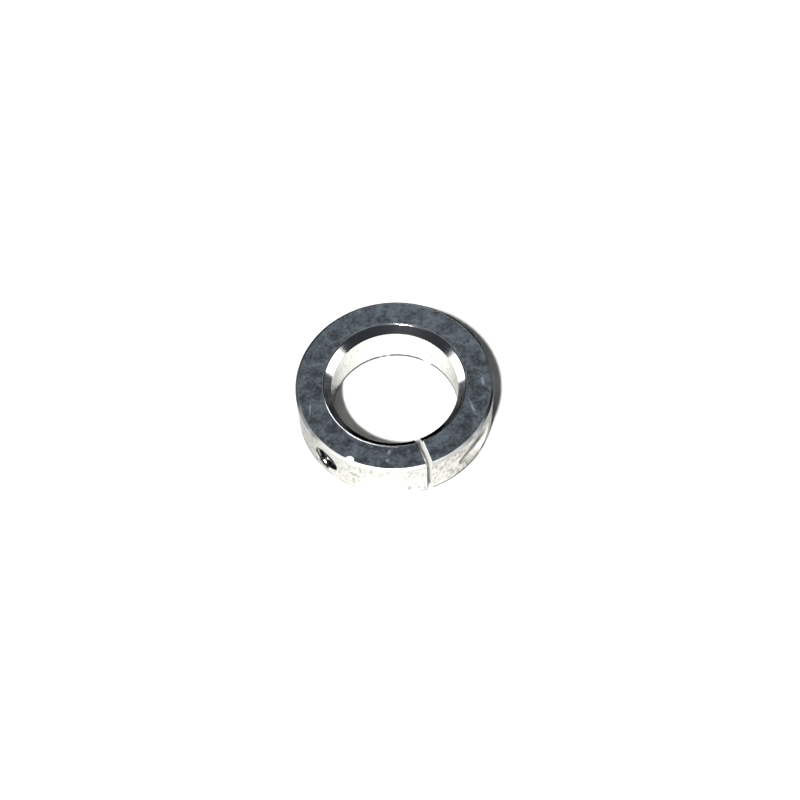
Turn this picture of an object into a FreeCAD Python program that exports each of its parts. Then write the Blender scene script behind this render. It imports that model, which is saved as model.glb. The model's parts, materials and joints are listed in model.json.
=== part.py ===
import FreeCAD, Part
import math
import os

# A one-piece split shaft collar for a 45 mm shaft, in millimetres: a ring slit once through, drawn
# shut by a cap screw across the slit, with a soft-tipped set screw that bears on the shaft.
# The origin is the centre of the bore at mid-width. +Z runs along the bore, and the slit is at -Y.

Vector = FreeCAD.Vector
UP = Vector(0, 0, 1)

# Ring
BORE_RADIUS = 22.5
OUTER_RADIUS = 35.0
WIDTH = 18.0
UPPER_BORE_CHAMFER = 2.75
LOWER_BORE_CHAMFER = 0.5
OUTER_CHAMFER = 1.0
FACE_TO_BORE_EDGE = 1.2
OUTER_EDGE = 0.3
SLIT_WIDTH = 2.0
HALF_WIDTH = WIDTH / 2

# Ball-nosed index dimple on the ring's upper outer edge
DIMPLE_RADIUS = 1.6
DIMPLE_FROM_SLIT = 47.0

# Fits shared by both screws
THREAD_CLEARANCE = 0.05
THREAD_DEPTH_PER_PITCH = 0.6134
THREAD_CREST_WIDTH_PER_PITCH = 0.125
THREAD_HALF_ANGLE = 30.0
GROOVE_OVERRUN_PER_PITCH = 0.05
OVERLAP = 1.0
TOLERANCE = 0.001
DRILL_POINT_HALF_ANGLE = 59.0

# Clamp screw: M6 x 16 socket head cap screw, parallel to X, with its head on the +X side
CLAMP_OFFSET = 27.75
CLAMP_RADIUS = 3.0
CLAMP_PITCH = 1.0
CLAMP_LENGTH = 16.0
CLAMP_SHANK_LENGTH = 2.0
CLAMP_SHANK_RADIUS = 2.9
CLAMP_SEAT = 6.0
CLAMP_SEAT_GAP = 0.03
CLAMP_CLEARANCE_RADIUS = 3.3
CLAMP_TAPPED_DEPTH = 12.5
HEAD_RADIUS = 5.0
HEAD_HEIGHT = 6.0
HEAD_EDGE = 0.5
HEAD_SOCKET_FLATS = 5.0
HEAD_SOCKET_DEPTH = 3.0
COUNTERBORE_RADIUS = 5.3

# Set screw: M10, 8 long over its tip, on the ring's mid-width plane
SET_FROM_SLIT = 64.0
SET_RADIUS = 5.0
SET_PITCH = 1.5
SET_LENGTH = 8.0
SET_RECESS_IN_BORE = 0.3
SET_SOCKET_FLATS = 5.0
SET_SOCKET_DEPTH = 3.0
SET_END_CHAMFER = 0.9
SET_MOUTH_CHAMFER = 0.6

# Soft tip of the set screw: a pad on a stem that turns freely in the screw's nose
TIP_PAD_RADIUS = 3.6
TIP_PAD_LENGTH = 1.5
TIP_EDGE = 0.4
TIP_STEM_RADIUS = 1.9
TIP_STEM_LENGTH = 2.0
TIP_STEM_CLEARANCE = 0.05
TIP_SEAT_GAP = 0.03
TIP_STEM_END_GAP = 0.2

# Hexagon sockets, countersunk a little at the mouth, with a drill point at the foot
HEX_SIDES = 6
SOCKET_MOUTH = 0.25
DRILL_POINT_FLAT = 0.5


def direction_from_slit(degrees):
    """Outward radial direction, turned clockwise from the slit as seen from above."""
    angle = math.radians(-90.0 - degrees)
    return Vector(math.cos(angle), math.sin(angle), 0)


def place_along(shape, start, direction):
    """Moves a shape built up along +Z so that it starts at a point and runs along a direction."""
    placed = shape.copy()
    placed.Placement = FreeCAD.Placement(start, FreeCAD.Rotation(UP, direction))
    return placed


def chamfered_rod(radius, length, start_chamfer, end_chamfer):
    """A rod along +Z with a 45 degree chamfer at each end, either of which may be zero."""
    body_length = length - start_chamfer - end_chamfer
    rod = Part.makeCylinder(radius, body_length, Vector(0, 0, start_chamfer))
    if start_chamfer > 0:
        rod = rod.fuse(Part.makeCone(radius - start_chamfer, radius, start_chamfer))
    if end_chamfer > 0:
        top = Vector(0, 0, length - end_chamfer)
        rod = rod.fuse(Part.makeCone(radius, radius - end_chamfer, end_chamfer, top))
    return rod.removeSplitter()


def drill_point_depth(radius):
    """The depth of the cone that a drill of that radius leaves."""
    return radius / math.tan(math.radians(DRILL_POINT_HALF_ANGLE))


def hex_socket(across_flats, depth):
    """The space of a hexagon socket that opens at z = 0, with a countersunk mouth and a drill point."""
    flat_radius = across_flats / 2
    corner_radius = flat_radius / math.cos(math.pi / HEX_SIDES)
    corners = []
    for index in range(HEX_SIDES + 1):
        angle = 2 * math.pi * index / HEX_SIDES
        corners.append(Vector(corner_radius * math.cos(angle), corner_radius * math.sin(angle), -OVERLAP))
    prism = Part.Face(Part.makePolygon(corners)).extrude(Vector(0, 0, depth + OVERLAP))
    mouth = Part.makeCone(corner_radius + SOCKET_MOUTH, corner_radius - SOCKET_MOUTH, 2 * SOCKET_MOUTH)
    point_end = flat_radius * DRILL_POINT_FLAT
    point_depth = drill_point_depth(flat_radius - point_end)
    point = Part.makeCone(flat_radius, point_end, point_depth, Vector(0, 0, depth))
    return prism.fuse([mouth, point])


def thread_groove(crest_radius, pitch, start, length):
    """A right-handed V groove swept along a helix, to be cut from a rod of the crest radius."""
    depth = THREAD_DEPTH_PER_PITCH * pitch
    overrun = GROOVE_OVERRUN_PER_PITCH * pitch
    slope = math.tan(math.radians(THREAD_HALF_ANGLE))
    half_at_crest = (1 - THREAD_CREST_WIDTH_PER_PITCH) * pitch / 2
    half_at_root = half_at_crest - depth * slope
    half_outside = half_at_crest + overrun * slope
    inner = crest_radius - depth
    outer = crest_radius + overrun
    corners = [
        Vector(inner, 0, -half_at_root),
        Vector(outer, 0, -half_outside),
        Vector(outer, 0, half_outside),
        Vector(inner, 0, half_at_root),
        Vector(inner, 0, -half_at_root),
    ]
    path = Part.Wire(Part.makeLongHelix(pitch, length, crest_radius))
    groove = path.makePipeShell([Part.makePolygon(corners)], True, True)
    groove.translate(Vector(0, 0, start))
    return groove


def circular_edges(solid, radius):
    """The turned edges of a ring at one radius."""
    return [edge for edge in solid.Edges if edge.Closed and abs(edge.Curve.Radius - radius) < TOLERANCE]


def ring_blank():
    """The turned ring, with a wide bore chamfer on its upper face only, and its edges rounded."""
    profile = [
        Vector(BORE_RADIUS, 0, -HALF_WIDTH + LOWER_BORE_CHAMFER),
        Vector(BORE_RADIUS + LOWER_BORE_CHAMFER, 0, -HALF_WIDTH),
        Vector(OUTER_RADIUS - OUTER_CHAMFER, 0, -HALF_WIDTH),
        Vector(OUTER_RADIUS, 0, -HALF_WIDTH + OUTER_CHAMFER),
        Vector(OUTER_RADIUS, 0, HALF_WIDTH - OUTER_CHAMFER),
        Vector(OUTER_RADIUS - OUTER_CHAMFER, 0, HALF_WIDTH),
        Vector(BORE_RADIUS + UPPER_BORE_CHAMFER, 0, HALF_WIDTH),
        Vector(BORE_RADIUS, 0, HALF_WIDTH - UPPER_BORE_CHAMFER),
    ]
    ring = Part.Face(Part.makePolygon(profile + profile[:1])).revolve(Vector(0, 0, 0), UP, 360)
    ring = ring.makeFillet(FACE_TO_BORE_EDGE, circular_edges(ring, BORE_RADIUS + UPPER_BORE_CHAMFER))
    ring = ring.makeFillet(OUTER_EDGE, circular_edges(ring, OUTER_RADIUS - OUTER_CHAMFER))
    return ring.makeFillet(OUTER_EDGE, circular_edges(ring, OUTER_RADIUS))


def slit_space():
    """The gap that splits the ring on its -Y side."""
    length = OUTER_RADIUS + OVERLAP
    corner = Vector(-SLIT_WIDTH / 2, -length, -HALF_WIDTH - OVERLAP)
    return Part.makeBox(SLIT_WIDTH, length, WIDTH + 2 * OVERLAP, corner)


def clamp_screw_space():
    """The counterbore, clearance hole and blind tapped hole for the clamp screw."""
    along = Vector(-1, 0, 0)
    mouth = Vector(OUTER_RADIUS, -CLAMP_OFFSET, 0)
    above_seat = Vector(CLAMP_SEAT + OVERLAP, -CLAMP_OFFSET, 0)
    middle = Vector(0, -CLAMP_OFFSET, 0)
    tapped_end = Vector(-CLAMP_TAPPED_DEPTH, -CLAMP_OFFSET, 0)
    tapped_radius = CLAMP_RADIUS + THREAD_CLEARANCE
    counterbore = Part.makeCylinder(COUNTERBORE_RADIUS, OUTER_RADIUS - CLAMP_SEAT, mouth, along)
    clearance = Part.makeCylinder(CLAMP_CLEARANCE_RADIUS, CLAMP_SEAT + OVERLAP, above_seat, along)
    tapped = Part.makeCylinder(tapped_radius, CLAMP_TAPPED_DEPTH, middle, along)
    point = Part.makeCone(tapped_radius, 0, drill_point_depth(tapped_radius), tapped_end, along)
    return [counterbore, clearance, tapped, point]


def set_screw_space():
    """The radial tapped hole for the set screw, countersunk at its mouth."""
    outward = direction_from_slit(SET_FROM_SLIT)
    hole_radius = SET_RADIUS + THREAD_CLEARANCE
    inner = BORE_RADIUS - 2 * OVERLAP
    hole = Part.makeCylinder(hole_radius, OUTER_RADIUS + OVERLAP - inner, outward * inner, outward)
    mouth_height = SET_MOUTH_CHAMFER + OVERLAP
    mouth_start = outward * (OUTER_RADIUS - SET_MOUTH_CHAMFER)
    mouth = Part.makeCone(hole_radius, hole_radius + mouth_height, mouth_height, mouth_start, outward)
    return [hole, mouth]


def index_dimple():
    """The small ball-nosed dimple on the upper outer edge."""
    centre = direction_from_slit(DIMPLE_FROM_SLIT) * OUTER_RADIUS + UP * HALF_WIDTH
    return Part.makeSphere(DIMPLE_RADIUS, centre)


def collar_body():
    """The split ring with all its holes."""
    spaces = [slit_space(), index_dimple()] + clamp_screw_space() + set_screw_space()
    return ring_blank().cut(spaces)


def clamp_screw():
    """The cap screw, seated at the foot of its counterbore and reaching across the slit."""
    crest = CLAMP_RADIUS - THREAD_CLEARANCE
    head = chamfered_rod(HEAD_RADIUS, HEAD_HEIGHT, HEAD_EDGE, 0)
    head = head.cut(hex_socket(HEAD_SOCKET_FLATS, HEAD_SOCKET_DEPTH))
    shank = Part.makeCylinder(CLAMP_SHANK_RADIUS, CLAMP_SHANK_LENGTH, Vector(0, 0, HEAD_HEIGHT))
    threaded_length = CLAMP_LENGTH - CLAMP_SHANK_LENGTH
    threaded = chamfered_rod(crest, threaded_length, 0, THREAD_DEPTH_PER_PITCH * CLAMP_PITCH)
    groove_length = threaded_length + 2 * CLAMP_PITCH
    threaded = threaded.cut(thread_groove(crest, CLAMP_PITCH, -CLAMP_PITCH, groove_length))
    threaded.translate(Vector(0, 0, HEAD_HEIGHT + CLAMP_SHANK_LENGTH))
    screw = head.fuse([shank, threaded])
    head_top = Vector(CLAMP_SEAT + CLAMP_SEAT_GAP + HEAD_HEIGHT, -CLAMP_OFFSET, 0)
    return place_along(screw, head_top, Vector(-1, 0, 0))


def set_screw_start():
    """The centre of the set screw's outer end."""
    return direction_from_slit(SET_FROM_SLIT) * (BORE_RADIUS + SET_RECESS_IN_BORE + SET_LENGTH)


def set_screw():
    """The headless screw, socketed at its outer end and bored at its nose for the tip's stem."""
    crest = SET_RADIUS - THREAD_CLEARANCE
    length = SET_LENGTH - TIP_PAD_LENGTH - TIP_SEAT_GAP
    rod = chamfered_rod(crest, length, SET_END_CHAMFER, SET_END_CHAMFER)
    groove = thread_groove(crest, SET_PITCH, -SET_PITCH, length + 2 * SET_PITCH)
    stem_space = Part.makeCylinder(
        TIP_STEM_RADIUS + TIP_STEM_CLEARANCE,
        TIP_STEM_LENGTH + TIP_STEM_END_GAP + OVERLAP,
        Vector(0, 0, length - TIP_STEM_LENGTH - TIP_STEM_END_GAP),
    )
    rod = rod.cut(groove).cut([hex_socket(SET_SOCKET_FLATS, SET_SOCKET_DEPTH), stem_space])
    return place_along(rod, set_screw_start(), -direction_from_slit(SET_FROM_SLIT))


def set_screw_tip():
    """The soft pad that meets the shaft, with its stem in the screw's nose."""
    pad = chamfered_rod(TIP_PAD_RADIUS, TIP_PAD_LENGTH, 0, TIP_EDGE)
    pad.translate(Vector(0, 0, SET_LENGTH - TIP_PAD_LENGTH))
    stem_start = Vector(0, 0, SET_LENGTH - TIP_PAD_LENGTH - TIP_STEM_LENGTH)
    stem = Part.makeCylinder(TIP_STEM_RADIUS, TIP_STEM_LENGTH, stem_start)
    return place_along(pad.fuse(stem), set_screw_start(), -direction_from_slit(SET_FROM_SLIT))


PIECES = {
    "collar_body": collar_body,
    "clamp_screw": clamp_screw,
    "set_screw": set_screw,
    "set_screw_tip": set_screw_tip,
}

os.makedirs("parts", exist_ok=True)
for name, make in PIECES.items():
    piece = make()
    print(name, "valid:", piece.isValid(), "solids:", len(piece.Solids), "mm3:", round(piece.Volume, 1))
    piece.exportStep("parts/" + name + ".step")
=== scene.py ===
import json
import math
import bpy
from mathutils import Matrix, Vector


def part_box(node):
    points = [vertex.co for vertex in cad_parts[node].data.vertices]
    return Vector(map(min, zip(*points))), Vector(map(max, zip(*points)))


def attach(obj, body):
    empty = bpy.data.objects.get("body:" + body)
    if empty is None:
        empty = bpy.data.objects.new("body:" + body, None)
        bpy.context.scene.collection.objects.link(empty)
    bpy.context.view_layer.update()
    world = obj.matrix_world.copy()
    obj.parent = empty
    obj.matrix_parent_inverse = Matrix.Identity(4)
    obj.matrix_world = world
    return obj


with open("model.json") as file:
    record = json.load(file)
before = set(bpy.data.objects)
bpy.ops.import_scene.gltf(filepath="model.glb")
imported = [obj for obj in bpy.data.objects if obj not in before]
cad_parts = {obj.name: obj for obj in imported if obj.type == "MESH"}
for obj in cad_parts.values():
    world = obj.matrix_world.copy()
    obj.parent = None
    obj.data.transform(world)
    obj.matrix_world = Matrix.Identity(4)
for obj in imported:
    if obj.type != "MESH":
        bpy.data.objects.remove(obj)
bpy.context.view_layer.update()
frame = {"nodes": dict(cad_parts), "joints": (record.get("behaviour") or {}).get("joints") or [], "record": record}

from types import SimpleNamespace

import bmesh
import bpy
from mathutils import Matrix, Vector

# A split shaft collar on a pale table, in metres. The ring, its two screws and the soft tip come from the
# frame. This script finishes them, adds the thread in the set screw's hole, and sets the stage.

MM = 0.001
UP = Vector((0, 0, 1))

# Sizes of the ring, from the frame
RING_LOW, RING_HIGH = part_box("collar_body")
OUTER_RADIUS = RING_HIGH.x
FLOOR_Z = RING_LOW.z
FACE_Z = RING_HIGH.z
BORE_MOUNT = next(mount for mount in frame["record"]["mounts"] if mount["name"] == "shaft_bore")
BORE_RADIUS = BORE_MOUNT["dims"]["r_mm"] * MM

# Details of the ring
UPPER_BORE_CHAMFER = 2.75 * MM
OUTER_CHAMFER = 1.0 * MM
SLIT_HALF = 1.0 * MM
CLAMP_OFFSET = 27.75 * MM
COUNTERBORE_RADIUS = 5.3 * MM
DIMPLE_FROM_SLIT = 47.0
DIMPLE_INSET = 0.9 * MM
DIMPLE_RADIUS = 1.5 * MM

# The set screw's thread, and the tapped hole that it runs in
JOINTS = {joint["name"]: joint for joint in frame["joints"]}
SET_AXIS = Vector(JOINTS["set_screw_turn"]["axis"]).normalized()
SET_OUTER_END = BORE_RADIUS + 8.3 * MM
SET_PITCH = 1.5 * MM
SET_HOLE_RADIUS = 5.05 * MM
THREAD_CREST_RADIUS = 4.3 * MM
THREAD_HALF_BASE = 0.6 * MM
THREAD_HALF_CREST = 0.17 * MM
THREAD_FROM = -3.0 * MM
THREAD_TO = 7.4 * MM
THREAD_STEPS_PER_TURN = 48
THREAD_FADE_TURNS = 0.5
THREAD_SINK = 0.01 * MM


def spot_from_slit(degrees, radius, height):
    """A point on the ring, turned clockwise from the slit as seen from above."""
    angle = math.radians(-90.0 - degrees)
    return Vector((radius * math.cos(angle), radius * math.sin(angle), height))


# ---------------------------------------------------------------------------------------------------------
# Shader building blocks


class Nodes:
    """Short calls for building one material's node tree. The functions below call it n."""

    def __init__(self, name):
        self.material = bpy.data.materials.new(name)
        self.material.use_nodes = True
        self.tree = self.material.node_tree
        self.tree.nodes.clear()
        self.output = self.tree.nodes.new("ShaderNodeOutputMaterial")

    def add(self, kind, inputs=None, **settings):
        """Adds a node, makes its settings and fills its inputs with numbers or links."""
        node = self.tree.nodes.new("ShaderNode" + kind)
        for name, value in settings.items():
            setattr(node, name, value)
        for name, value in (inputs or {}).items():
            self.put(value, node.inputs[name])
        return node

    def put(self, value, socket):
        if isinstance(value, bpy.types.NodeSocket):
            self.tree.links.new(value, socket)
        else:
            socket.default_value = value

    def math(self, operation, first, second=0.0, clamp=False):
        node = self.add("Math", {0: first, 1: second}, operation=operation, use_clamp=clamp)
        return node.outputs[0]

    def ramp(self, value, low, high, start=0.0, end=1.0):
        """Maps a value smoothly from low..high to start..end."""
        inputs = {"Value": value, "From Min": low, "From Max": high, "To Min": start, "To Max": end}
        return self.add("MapRange", inputs, interpolation_type="SMOOTHSTEP").outputs[0]

    def mix(self, factor, first, second):
        """Mixes two colours."""
        return self.add("Mix", {0: factor, 6: first, 7: second}, data_type="RGBA").outputs[2]

    def blend(self, factor, first, second):
        """Mixes two numbers."""
        return self.add("Mix", {0: factor, 2: first, 3: second}, data_type="FLOAT").outputs[0]

    def noise(self, vector, scale, detail=3.0, roughness=0.5, distortion=0.0):
        inputs = {"Vector": vector, "Scale": scale, "Detail": detail, "Roughness": roughness}
        inputs["Distortion"] = distortion
        return self.add("TexNoise", inputs).outputs[0]

    def place(self):
        """The object's own coordinates, in metres."""
        return self.add("TexCoord").outputs["Object"]

    def split(self, vector):
        return self.add("SeparateXYZ", {0: vector}).outputs

    def join(self, x, y, z):
        return self.add("CombineXYZ", {0: x, 1: y, 2: z}).outputs[0]

    def bump(self, height, strength, distance):
        inputs = {"Height": height, "Strength": strength, "Distance": distance}
        return self.add("Bump", inputs).outputs[0]

    def finish(self, shader):
        self.tree.links.new(shader.outputs[0], self.output.inputs["Surface"])
        return self.material


def polar(n, vector):
    """Radius, angle and height about the bore's axis, in metres, radians and metres."""
    x, y, z = n.split(vector)
    squares = n.math("ADD", n.math("MULTIPLY", x, x), n.math("MULTIPLY", y, y))
    return n.math("SQRT", squares), n.math("ARCTAN2", y, x), z


# ---------------------------------------------------------------------------------------------------------
# Materials

FACE_DARK = (0.034, 0.037, 0.043, 1)
FACE_PALE = (0.138, 0.164, 0.190, 1)
FACE_MARK = (0.240, 0.290, 0.335, 1)
SLOPE_OXIDE = (0.820, 0.840, 0.880, 1)
# Darker rim, and painted shade on the front half of the bore's chamfer
SLOPE_DARK_AND_SHADE = (0.110, 0.113, 0.120, 1)
# Painted highlight on the front of the rim
RIM_HIGHLIGHT = (0.800, 0.800, 0.790, 1)
OXIDE_EDGE = (0.07, 0.07, 0.07, 1)
WALL_EDGE = (0.45, 0.45, 0.45, 1)
HOLE_STEEL = (0.300, 0.300, 0.300, 1)
WALL_BRIGHT = (0.94, 0.935, 0.88, 1)
WALL_DULL = (0.34, 0.335, 0.29, 1)
# Painted shade at the foot of the walls
FOOT_SHADE = (0.12, 0.125, 0.13, 1)
SAWN = (0.94, 0.94, 0.92, 1)

# The ring's front, where the rim is bright with a painted highlight and the bore's chamfer is darker with painted
# shade, and a painted highlight spot on the wall
FRONT_FROM_SLIT = 22.0
# Where the painted highlight spot sits on the outer wall
HIGHLIGHT_SPOT_FROM_SLIT = 27.0
HIGHLIGHT_SPOT_HEIGHT = -3.0 * MM
EDGE_SOFTNESS = 0.05 * MM

# Handling marks on the upper face: degrees from the slit, radius, half length, half width and turn
FACE_MARKS = (
    (24.0, 27.6 * MM, 1.2 * MM, 0.55 * MM, 60.0),
    (24.5, 30.8 * MM, 0.8 * MM, 0.60 * MM, 20.0),
    (-50.0, 28.9 * MM, 3.2 * MM, 0.50 * MM, 90.0),
    (-71.0, 31.0 * MM, 1.9 * MM, 0.55 * MM, 76.0),
    (91.0, 31.2 * MM, 2.8 * MM, 0.45 * MM, 67.0),
)


def face_marks(n, x, y):
    """Adds up short pale strokes, each fading out from its middle."""
    total = 0.0
    for from_slit, radius, half_length, half_width, turn in FACE_MARKS:
        spot = spot_from_slit(from_slit, radius, 0.0)
        away_x = n.math("SUBTRACT", x, spot.x)
        away_y = n.math("SUBTRACT", y, spot.y)
        cosine, sine = math.cos(math.radians(turn)), math.sin(math.radians(turn))
        along = n.math("ADD", n.math("MULTIPLY", away_x, cosine), n.math("MULTIPLY", away_y, sine))
        across = n.math("SUBTRACT", n.math("MULTIPLY", away_y, cosine), n.math("MULTIPLY", away_x, sine))
        long_part = n.math("POWER", n.math("DIVIDE", along, half_length), 2.0)
        wide_part = n.math("POWER", n.math("DIVIDE", across, half_width), 2.0)
        stroke = n.ramp(n.math("ADD", long_part, wide_part), 0.1, 1.2, start=1.0, end=0.0)
        total = n.math("ADD", stroke, total)
    return total


def distance_to_line(n, place, point, axis):
    """How far the place is from a straight line."""
    away = n.add("VectorMath", {0: place, 1: point}, operation="SUBTRACT").outputs[0]
    crossed = n.add("VectorMath", {0: away, 1: axis}, operation="CROSS_PRODUCT").outputs[0]
    return n.add("VectorMath", {0: crossed}, operation="LENGTH").outputs["Value"]


def distance_to_spot(n, place, spot):
    """How far the place is from a point."""
    return n.add("VectorMath", {0: place, 1: tuple(spot)}, operation="DISTANCE").outputs["Value"]


def ring_places(n):
    """Coordinates on the ring, and masks from 0 to 1 that say where its faces, slopes and holes lie."""
    at = SimpleNamespace(place=n.place())
    at.radius, at.angle, at.z = polar(n, at.place)
    at.x, at.y, _ = n.split(at.place)
    front = spot_from_slit(FRONT_FROM_SLIT, 1.0, 0.0)
    at.forward = n.math("ADD", n.math("MULTIPLY", at.x, front.x), n.math("MULTIPLY", at.y, front.y))
    height = n.math("ABSOLUTE", at.z)
    from_middle = n.math("ABSOLUTE", at.x)
    normal_x, _, normal_z = n.split(n.add("NewGeometry").outputs["Normal"])
    tilt = n.math("ABSOLUTE", normal_z)

    # Flat faces, and every slope between a face and a wall
    near_face = n.ramp(height, FACE_Z - 0.5 * MM, FACE_Z - 0.1 * MM)
    at.face = n.math("MULTIPLY", near_face, n.ramp(tilt, 0.93, 0.98))
    chamfer_foot = FACE_Z - UPPER_BORE_CHAMFER
    in_chamfer = n.ramp(height, chamfer_foot - EDGE_SOFTNESS, chamfer_foot + EDGE_SOFTNESS)
    sloping = n.math("MULTIPLY", in_chamfer, n.ramp(tilt, 0.3, 0.6))
    at.slope = n.math("SUBTRACT", sloping, at.face, clamp=True)

    # The rim is darker all round and the front half of the bore's chamfer has painted shade; the front of the rim
    # has a painted highlight
    outermost = n.ramp(at.radius, OUTER_RADIUS - 1.6 * MM, OUTER_RADIUS - OUTER_CHAMFER)
    rim = n.math("MULTIPLY", at.slope, outermost)
    at_front = n.ramp(at.forward, 0.50 * OUTER_RADIUS, 0.72 * OUTER_RADIUS)
    at.rubbed_rim = n.math("MULTIPLY", rim, at_front)
    front_half = n.ramp(at.forward, 0.0, 0.3 * OUTER_RADIUS)
    front_slope_shade = n.math("MULTIPLY", front_half, n.ramp(tilt, 0.715, 0.760, start=1.0, end=0.0))
    at.dark_slope = n.math("MAXIMUM", rim, front_slope_shade)

    # The sawn slit, and the face's narrow deburred edge on its +X side
    near_slit = n.math("LESS_THAN", from_middle, 1.1 * SLIT_HALF)
    sawn = n.math("MULTIPLY", near_slit, n.ramp(n.math("ABSOLUTE", normal_x), 0.97, 0.99))
    from_edge = n.math("ABSOLUTE", n.math("SUBTRACT", at.x, 1.1 * SLIT_HALF))
    on_edge = n.ramp(from_edge, 0.25 * SLIT_HALF, 0.35 * SLIT_HALF, start=1.0, end=0.0)
    deburred = n.math("MULTIPLY", at.face, on_edge)
    at.slit = n.math("MULTIPLY", n.math("MAXIMUM", sawn, deburred), n.math("LESS_THAN", at.y, 0.0))

    # Counterbore, set screw hole and dimple
    from_clamp = distance_to_line(n, at.place, (0, -CLAMP_OFFSET, 0), (1, 0, 0))
    inside = n.math("LESS_THAN", from_clamp, COUNTERBORE_RADIUS + EDGE_SOFTNESS)
    at.counterbore = n.math("MULTIPLY", inside, n.math("GREATER_THAN", at.x, 1.5 * SLIT_HALF))
    from_hole = distance_to_line(n, at.place, (0, 0, 0), tuple(SET_AXIS))
    hole_side = n.math("LESS_THAN", n.math("MULTIPLY", at.x, SET_AXIS.x), 0.0)
    hole_edge = SET_HOLE_RADIUS + EDGE_SOFTNESS
    inside = n.ramp(from_hole, hole_edge, hole_edge + 0.1 * MM, start=1.0, end=0.0)
    at.hole = n.math("MULTIPLY", inside, hole_side)
    spot = spot_from_slit(DIMPLE_FROM_SLIT, OUTER_RADIUS - DIMPLE_INSET, FACE_Z)
    from_dimple = distance_to_spot(n, at.place, spot)
    at.dimple = n.ramp(from_dimple, DIMPLE_RADIUS, DIMPLE_RADIUS + 0.2 * MM, start=1.0, end=0.0)
    at.bare = n.math("MAXIMUM", at.slit, at.counterbore)
    return at


def oxide_finish(n, at):
    """Dark oxide: blotches over fine turned rings, with pale handling marks. Gives colour, mottle, rings."""
    blotch = n.noise(at.place, scale=210.0, detail=5.0, roughness=0.66, distortion=0.5)
    grain = n.noise(at.place, scale=900.0, detail=3.0, roughness=0.6)
    turned = n.join(n.math("MULTIPLY", at.radius, 6.0), n.math("MULTIPLY", at.angle, 0.0016), 0.0)
    rings = n.noise(turned, scale=700.0, detail=4.0, roughness=0.7)
    mottle = n.math("ADD", n.math("MULTIPLY", blotch, 0.6), n.math("MULTIPLY", grain, 0.4))
    tone = n.math("ADD", n.math("MULTIPLY", mottle, 0.85), n.math("MULTIPLY", rings, 0.15))
    # Painted sheen: the face is slightly paler towards the back
    tone = n.math("ADD", tone, n.ramp(at.forward, -OUTER_RADIUS, 0.0, start=0.035, end=0.0))
    face = n.mix(n.ramp(tone, 0.37, 0.66), FACE_DARK, FACE_PALE)
    broken = n.ramp(grain, 0.3, 0.6, start=0.35, end=1.0)
    marks = n.math("MULTIPLY", face_marks(n, at.x, at.y), broken, clamp=True)
    face = n.mix(marks, face, FACE_MARK)
    # The rim darker all round, painted shade on the front half of the bore's chamfer, and a painted highlight on
    # the front of the rim
    slope = n.mix(at.dark_slope, SLOPE_OXIDE, SLOPE_DARK_AND_SHADE)
    slope = n.mix(at.rubbed_rim, slope, RIM_HIGHLIGHT)
    return n.mix(at.slope, face, slope), mottle, rings


def wall_finish(n, at):
    """Ground walls: nearly white, with dull specks and short streaks, painted shade at the foot and on the
    right-hand front, and a painted highlight spot. Gives colour, specks, streaks.
    """
    around = n.math("MULTIPLY", at.angle, OUTER_RADIUS)
    unrolled = n.join(around, 0.0, n.math("MULTIPLY", at.z, 0.55))
    specks = n.noise(unrolled, scale=700.0, detail=4.0, roughness=0.7)
    drawn_out = n.join(around, 0.0, n.math("MULTIPLY", at.z, 0.05))
    streaks = n.noise(drawn_out, scale=2400.0, detail=3.0, roughness=0.6)
    patches = n.noise(at.place, scale=110.0, detail=3.0, roughness=0.6)
    # Painted highlight: a spot on the outer wall with fewer dull specks and no foot shade
    rubbed = distance_to_spot(n, at.place, spot_from_slit(HIGHLIGHT_SPOT_FROM_SLIT, OUTER_RADIUS, HIGHLIGHT_SPOT_HEIGHT))
    # Painted shade on the right-hand front of the wall
    on_right = n.ramp(at.x, 0.0, 0.5 * OUTER_RADIUS)
    shaded_side = n.math("MULTIPLY", on_right, n.ramp(at.forward, -0.4 * OUTER_RADIUS, 0.0))

    # Dull specks, denser on the right-hand front as painted shade, weaker in the counterbore, around the painted
    # highlight spot and in the bore
    specks_and_side_shade = n.math("ADD", specks, n.math("MULTIPLY", shaded_side, 0.07))
    dull = n.math("MULTIPLY", n.ramp(specks_and_side_shade, 0.45, 0.70), n.ramp(patches, 0.34, 0.58))
    dull = n.math("MULTIPLY", dull, n.ramp(at.counterbore, 0.0, 1.0, start=1.0, end=0.3))
    dull = n.math("MULTIPLY", dull, n.ramp(rubbed, 5.0 * MM, 11.0 * MM, start=0.1, end=1.0))
    from_bore = n.ramp(at.radius, BORE_RADIUS, BORE_RADIUS + 6.0 * MM, start=0.6, end=1.0)
    dull = n.math("MULTIPLY", dull, from_bore)

    # Painted shade at the foot of the walls, higher on the right-hand front, broken up and gone around the painted
    # highlight spot
    foot_height = n.math("SUBTRACT", at.z, n.math("MULTIPLY", shaded_side, 0.5 * MM))
    foot_shade = n.ramp(foot_height, FLOOR_Z + 1.3 * MM, FLOOR_Z + 2.0 * MM, start=1.0, end=0.0)
    foot_shade = n.math("MULTIPLY", foot_shade, n.ramp(patches, 0.30, 0.42))
    foot_shade = n.math("MULTIPLY", foot_shade, n.ramp(rubbed, 12.0 * MM, 16.0 * MM))

    colour = n.mix(n.ramp(streaks, 0.3, 0.7, start=0.0, end=0.14), WALL_BRIGHT, WALL_DULL)
    colour = n.mix(dull, colour, WALL_DULL)
    colour = n.mix(foot_shade, colour, FOOT_SHADE)
    colour = n.mix(at.slit, colour, SAWN)
    return n.mix(at.hole, colour, HOLE_STEEL), specks, streaks


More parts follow.
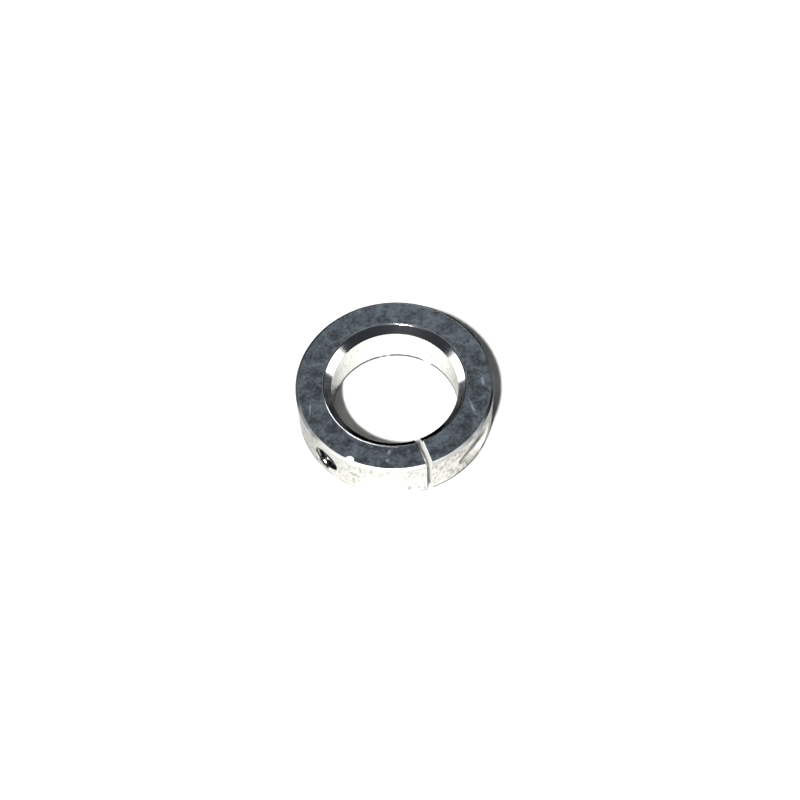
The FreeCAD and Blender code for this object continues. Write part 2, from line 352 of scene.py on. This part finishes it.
def collar_steel():
    """Dark oxide on the faces and slopes, bare ground steel on the walls, a sawn slit."""
    n = Nodes("collar_steel")
    at = ring_places(n)
    oxide_colour, mottle, rings = oxide_finish(n, at)
    wall_colour, specks, streaks = wall_finish(n, at)
    not_oxide = n.math("MAXIMUM", at.hole, at.bare)
    oxide = n.math("MULTIPLY", n.math("MAXIMUM", at.face, at.slope), n.math("SUBTRACT", 1.0, not_oxide))
    colour = n.mix(oxide, wall_colour, oxide_colour)
    colour = n.mix(at.dimple, colour, SAWN)

    # Sawn, struck and oxidised places look less like clean metal than the ground walls do
    matt = n.math("MAXIMUM", at.slit, at.dimple)
    matt = n.math("MAXIMUM", matt, n.math("MULTIPLY", at.face, 0.8))
    matt = n.math("MAXIMUM", matt, n.math("MULTIPLY", at.counterbore, 0.55))
    metallic = n.ramp(matt, 0.0, 1.0, start=1.0, end=0.15)
    face_roughness = n.ramp(mottle, 0.35, 0.65, start=0.30, end=0.44)
    slope_roughness = n.blend(at.rubbed_rim, 0.13, 0.60)
    oxide_roughness = n.blend(at.slope, face_roughness, slope_roughness)
    roughness = n.blend(oxide, n.ramp(specks, 0.40, 0.70, start=0.16, end=0.34), oxide_roughness)
    roughness = n.blend(n.math("MAXIMUM", at.bare, at.dimple), roughness, 0.55)
    relief = n.blend(oxide, n.math("ADD", specks, streaks), n.math("MULTIPLY", rings, at.face))
    inputs = {"Base Color": colour, "Metallic": metallic, "Roughness": roughness}
    inputs["Specular Tint"] = n.mix(at.slope, WALL_EDGE, OXIDE_EDGE)
    inputs["Normal"] = n.bump(relief, 0.25, 0.03 * MM)
    return n.finish(n.add("BsdfPrincipled", inputs))


def bright_plate():
    """Zinc-plated steel of the cap screw."""
    n = Nodes("bright_plate")
    place = n.place()
    cloud = n.noise(place, scale=600.0, detail=4.0, roughness=0.6)
    colour = n.mix(n.ramp(cloud, 0.35, 0.70), (0.86, 0.86, 0.82, 1), (0.70, 0.71, 0.69, 1))
    roughness = n.ramp(cloud, 0.3, 0.7, start=0.34, end=0.48)
    bump = n.bump(n.noise(place, scale=2600.0, detail=2.0), 0.15, 0.03 * MM)
    return n.finish(n.add("BsdfPrincipled", {"Base Color": colour, "Metallic": 1.0, "Roughness": roughness,
                                             "Normal": bump}))


def black_oxide():
    """Black oxide on the set screw, rubbed through in places."""
    n = Nodes("black_oxide")
    place = n.place()
    cloud = n.noise(place, scale=700.0, detail=4.0, roughness=0.65)
    colour = n.mix(n.ramp(cloud, 0.58, 0.78), (0.030, 0.031, 0.034, 1), (0.16, 0.16, 0.165, 1))
    roughness = n.ramp(cloud, 0.3, 0.7, start=0.34, end=0.52)
    bump = n.bump(n.noise(place, scale=3000.0, detail=2.0), 0.2, 0.03 * MM)
    return n.finish(n.add("BsdfPrincipled", {"Base Color": colour, "Metallic": 0.85, "Roughness": roughness,
                                             "Normal": bump}))


def moulded_nylon():
    """Matt black nylon of the tip, with a faint moulded grain."""
    n = Nodes("moulded_nylon")
    place = n.place()
    grain = n.noise(place, scale=1800.0, detail=3.0, roughness=0.6)
    colour = n.mix(n.ramp(grain, 0.35, 0.75), (0.022, 0.022, 0.023, 1), (0.050, 0.050, 0.052, 1))
    roughness = n.ramp(grain, 0.3, 0.7, start=0.48, end=0.66)
    bump = n.bump(grain, 0.25, 0.04 * MM)
    return n.finish(n.add("BsdfPrincipled", {"Base Color": colour, "Roughness": roughness, "Normal": bump}))


def table_white():
    """The pale, matt table that the collar lies on."""
    n = Nodes("table_white")
    cloud = n.noise(n.place(), scale=3.0, detail=3.0)
    colour = n.mix(cloud, (0.86, 0.86, 0.855, 1), (0.90, 0.90, 0.895, 1))
    return n.finish(n.add("BsdfPrincipled", {"Base Color": colour, "Roughness": 0.9}))


MATERIALS = {
    "collar_body": collar_steel,
    "clamp_screw": bright_plate,
    "set_screw": black_oxide,
    "set_screw_tip": moulded_nylon,
}


def finish_frame_nodes():
    """Gives every CAD node its material."""
    made = {}
    for name, make in MATERIALS.items():
        node = frame["nodes"][name]
        made[name] = make()
        node.data.materials.clear()
        node.data.materials.append(made[name])
    return made


def tap_set_screw_hole(material):
    """The hole's right-handed thread: a helical ridge at the set screw's pitch.

    Its flanks still cross the set screw's surface in places.
    """
    mesh = bpy.data.meshes.new("set_hole_thread")
    thread = bmesh.new()
    turns = (THREAD_TO - THREAD_FROM) / SET_PITCH
    steps = round(turns * THREAD_STEPS_PER_TURN)
    previous = None
    for step in range(steps + 1):
        turn = step * turns / steps
        fade = min(1.0, turn / THREAD_FADE_TURNS, (turns - turn) / THREAD_FADE_TURNS)
        along = THREAD_FROM + turn * SET_PITCH
        angle = 2 * math.pi * along / SET_PITCH
        base = SET_HOLE_RADIUS + THREAD_SINK
        crest = base + (THREAD_CREST_RADIUS - base) * fade
        section = []
        for radius, half, side in ((base, THREAD_HALF_BASE, -1), (crest, THREAD_HALF_CREST, -1),
                                   (crest, THREAD_HALF_CREST, 1), (base, THREAD_HALF_BASE, 1)):
            spot = (radius * math.cos(angle), radius * math.sin(angle), along + side * half)
            section.append(thread.verts.new(spot))
        if previous:
            for index in range(4):
                after = (index + 1) % 4
                thread.faces.new((previous[index], previous[after], section[after], section[index]))
        else:
            thread.faces.new(section)
        previous = section
    thread.faces.new(reversed(previous))
    bmesh.ops.recalc_face_normals(thread, faces=thread.faces)
    turn_inward = UP.rotation_difference(SET_AXIS).to_matrix().to_4x4()
    placed = Matrix.Translation(-SET_AXIS * SET_OUTER_END) @ turn_inward
    bmesh.ops.transform(thread, matrix=placed, verts=thread.verts)
    thread.to_mesh(mesh)
    thread.free()
    mesh.materials.append(material)
    piece = bpy.data.objects.new("set_hole_thread", mesh)
    bpy.context.scene.collection.objects.link(piece)
    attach(piece, "collar")


# ---------------------------------------------------------------------------------------------------------
# Stage


TABLE_RADIUS = 6.0
TABLE_SEGMENTS = 96


def lay_table():
    """Puts a round, pale table under the collar."""
    mesh = bpy.data.meshes.new("table")
    grid = bmesh.new()
    bmesh.ops.create_circle(grid, cap_ends=True, segments=TABLE_SEGMENTS, radius=TABLE_RADIUS)
    bmesh.ops.translate(grid, verts=grid.verts, vec=(0, 0, FLOOR_Z))
    grid.to_mesh(mesh)
    grid.free()
    table = bpy.data.objects.new("table", mesh)
    mesh.materials.append(table_white())
    bpy.context.scene.collection.objects.link(table)


# The camera looks at the ring's upper face from a little clockwise of the slit
VIEW_FROM_SLIT = 17.8
VIEW_ELEVATION = 58.8
VIEW_ROLL = 2.64
VIEW_DISTANCE = 16 * OUTER_RADIUS
AIM_RIGHT = 0.055 * OUTER_RADIUS
AIM_DOWN = 0.166 * OUTER_RADIUS
LENS_MM = 71.7
CLIP_START = 0.01

# Lights stand at an angle clockwise from the camera and at an elevation, both in degrees
LIGHT_DISTANCE = 1.2
KEY = {"from_camera": 22, "elevation": 57.5, "spread": 4.0, "strength": 4.7}

# Softboxes: name, angle, elevation, width and height in metres, and power in watts
SOFTBOXES = (
    ("left_softbox", 102, 10, (0.76, 0.30), 2.0),
    ("right_softbox", -89, 16.5, (0.70, 0.24), 1.8),
    ("back_softbox", -157, 27, (0.62, 0.28), 2.2),
)

# The room: height is mapped to a scale from 0 to 1, and the colour darkens between two places on it
ROOM_HEIGHTS = (-0.1, 1.0)
ROOM_COLOURS = ((0.10, (0.10, 0.10, 0.10, 1)), (0.34, (0.030, 0.033, 0.038, 1)))


def place_matrix(position, right, up, back):
    """A position and three directions as one matrix."""
    return Matrix.Translation(position) @ Matrix((right, up, back)).transposed().to_4x4()


def view_axes(from_slit, elevation, roll):
    """The right, up and backward directions of something that looks at the collar."""
    tilt = math.radians(elevation)
    back = spot_from_slit(from_slit, math.cos(tilt), math.sin(tilt))
    right = UP.cross(back).normalized()
    up = back.cross(right)
    turn = math.radians(roll)
    return right * math.cos(turn) - up * math.sin(turn), right * math.sin(turn) + up * math.cos(turn), back


def place_camera():
    """Sets the camera, aimed a little to the right of the face's centre and below it."""
    right, up, back = view_axes(VIEW_FROM_SLIT, VIEW_ELEVATION, VIEW_ROLL)
    face_centre = UP * FACE_Z
    position = face_centre + back * VIEW_DISTANCE
    aim = face_centre + right * AIM_RIGHT - up * AIM_DOWN
    backward = (position - aim).normalized()
    rightward = up.cross(backward).normalized()
    upward = backward.cross(rightward)
    camera = bpy.data.objects.new("camera", bpy.data.cameras.new("camera"))
    camera.data.lens = LENS_MM
    camera.data.clip_start = CLIP_START
    camera.matrix_world = place_matrix(position, rightward, upward, backward)
    bpy.context.scene.collection.objects.link(camera)
    bpy.context.scene.camera = camera


def place_light(light, from_camera, elevation):
    """Aims a light at the collar, turned clockwise from the camera as seen from above."""
    holder = bpy.data.objects.new(light.name, light)
    right, up, back = view_axes(VIEW_FROM_SLIT + from_camera, elevation, 0.0)
    holder.matrix_world = place_matrix(back * LIGHT_DISTANCE, right, up, back)
    bpy.context.scene.collection.objects.link(holder)
    return holder


def key_light(from_camera, elevation, spread, strength):
    """A distant lamp, so that the whole table is evenly bright."""
    light = bpy.data.lights.new("key", "SUN")
    light.angle = math.radians(spread)
    light.energy = strength
    place_light(light, from_camera, elevation)


def softbox(name, from_camera, elevation, size, power):
    """A rectangular light that is only seen mirrored in metal, so it leaves the shadows dark."""
    light = bpy.data.lights.new(name, "AREA")
    light.shape = "RECTANGLE"
    light.size, light.size_y = size
    light.energy = power
    light.cycles.max_bounces = 1
    place_light(light, from_camera, elevation).visible_diffuse = False


def light_room():
    """A dim room that is lighter at the horizon and below it."""
    world = bpy.data.worlds.new("room")
    bpy.context.scene.world = world
    world.use_nodes = True
    tree = world.node_tree
    tree.nodes.clear()
    direction = tree.nodes.new("ShaderNodeTexCoord")
    parts = tree.nodes.new("ShaderNodeSeparateXYZ")
    height = tree.nodes.new("ShaderNodeMapRange")
    colours = tree.nodes.new("ShaderNodeValToRGB")
    background = tree.nodes.new("ShaderNodeBackground")
    output = tree.nodes.new("ShaderNodeOutputWorld")
    height.inputs["From Min"].default_value, height.inputs["From Max"].default_value = ROOM_HEIGHTS
    for element, (position, colour) in zip(colours.color_ramp.elements, ROOM_COLOURS):
        element.position = position
        element.color = colour
    tree.links.new(direction.outputs["Generated"], parts.inputs[0])
    tree.links.new(parts.outputs["Z"], height.inputs["Value"])
    tree.links.new(height.outputs[0], colours.inputs["Fac"])
    tree.links.new(colours.outputs["Color"], background.inputs["Color"])
    tree.links.new(background.outputs[0], output.inputs["Surface"])


def light_studio():
    """A key from the front left, low softboxes at both sides and behind, and a dim room."""
    key_light(**KEY)
    for name, from_camera, elevation, size, power in SOFTBOXES:
        softbox(name, from_camera, elevation, size, power)
    light_room()


materials = finish_frame_nodes()
tap_set_screw_hole(materials["collar_body"])
lay_table()
place_camera()
light_studio()
bpy.context.scene.view_settings.view_transform = "Standard"
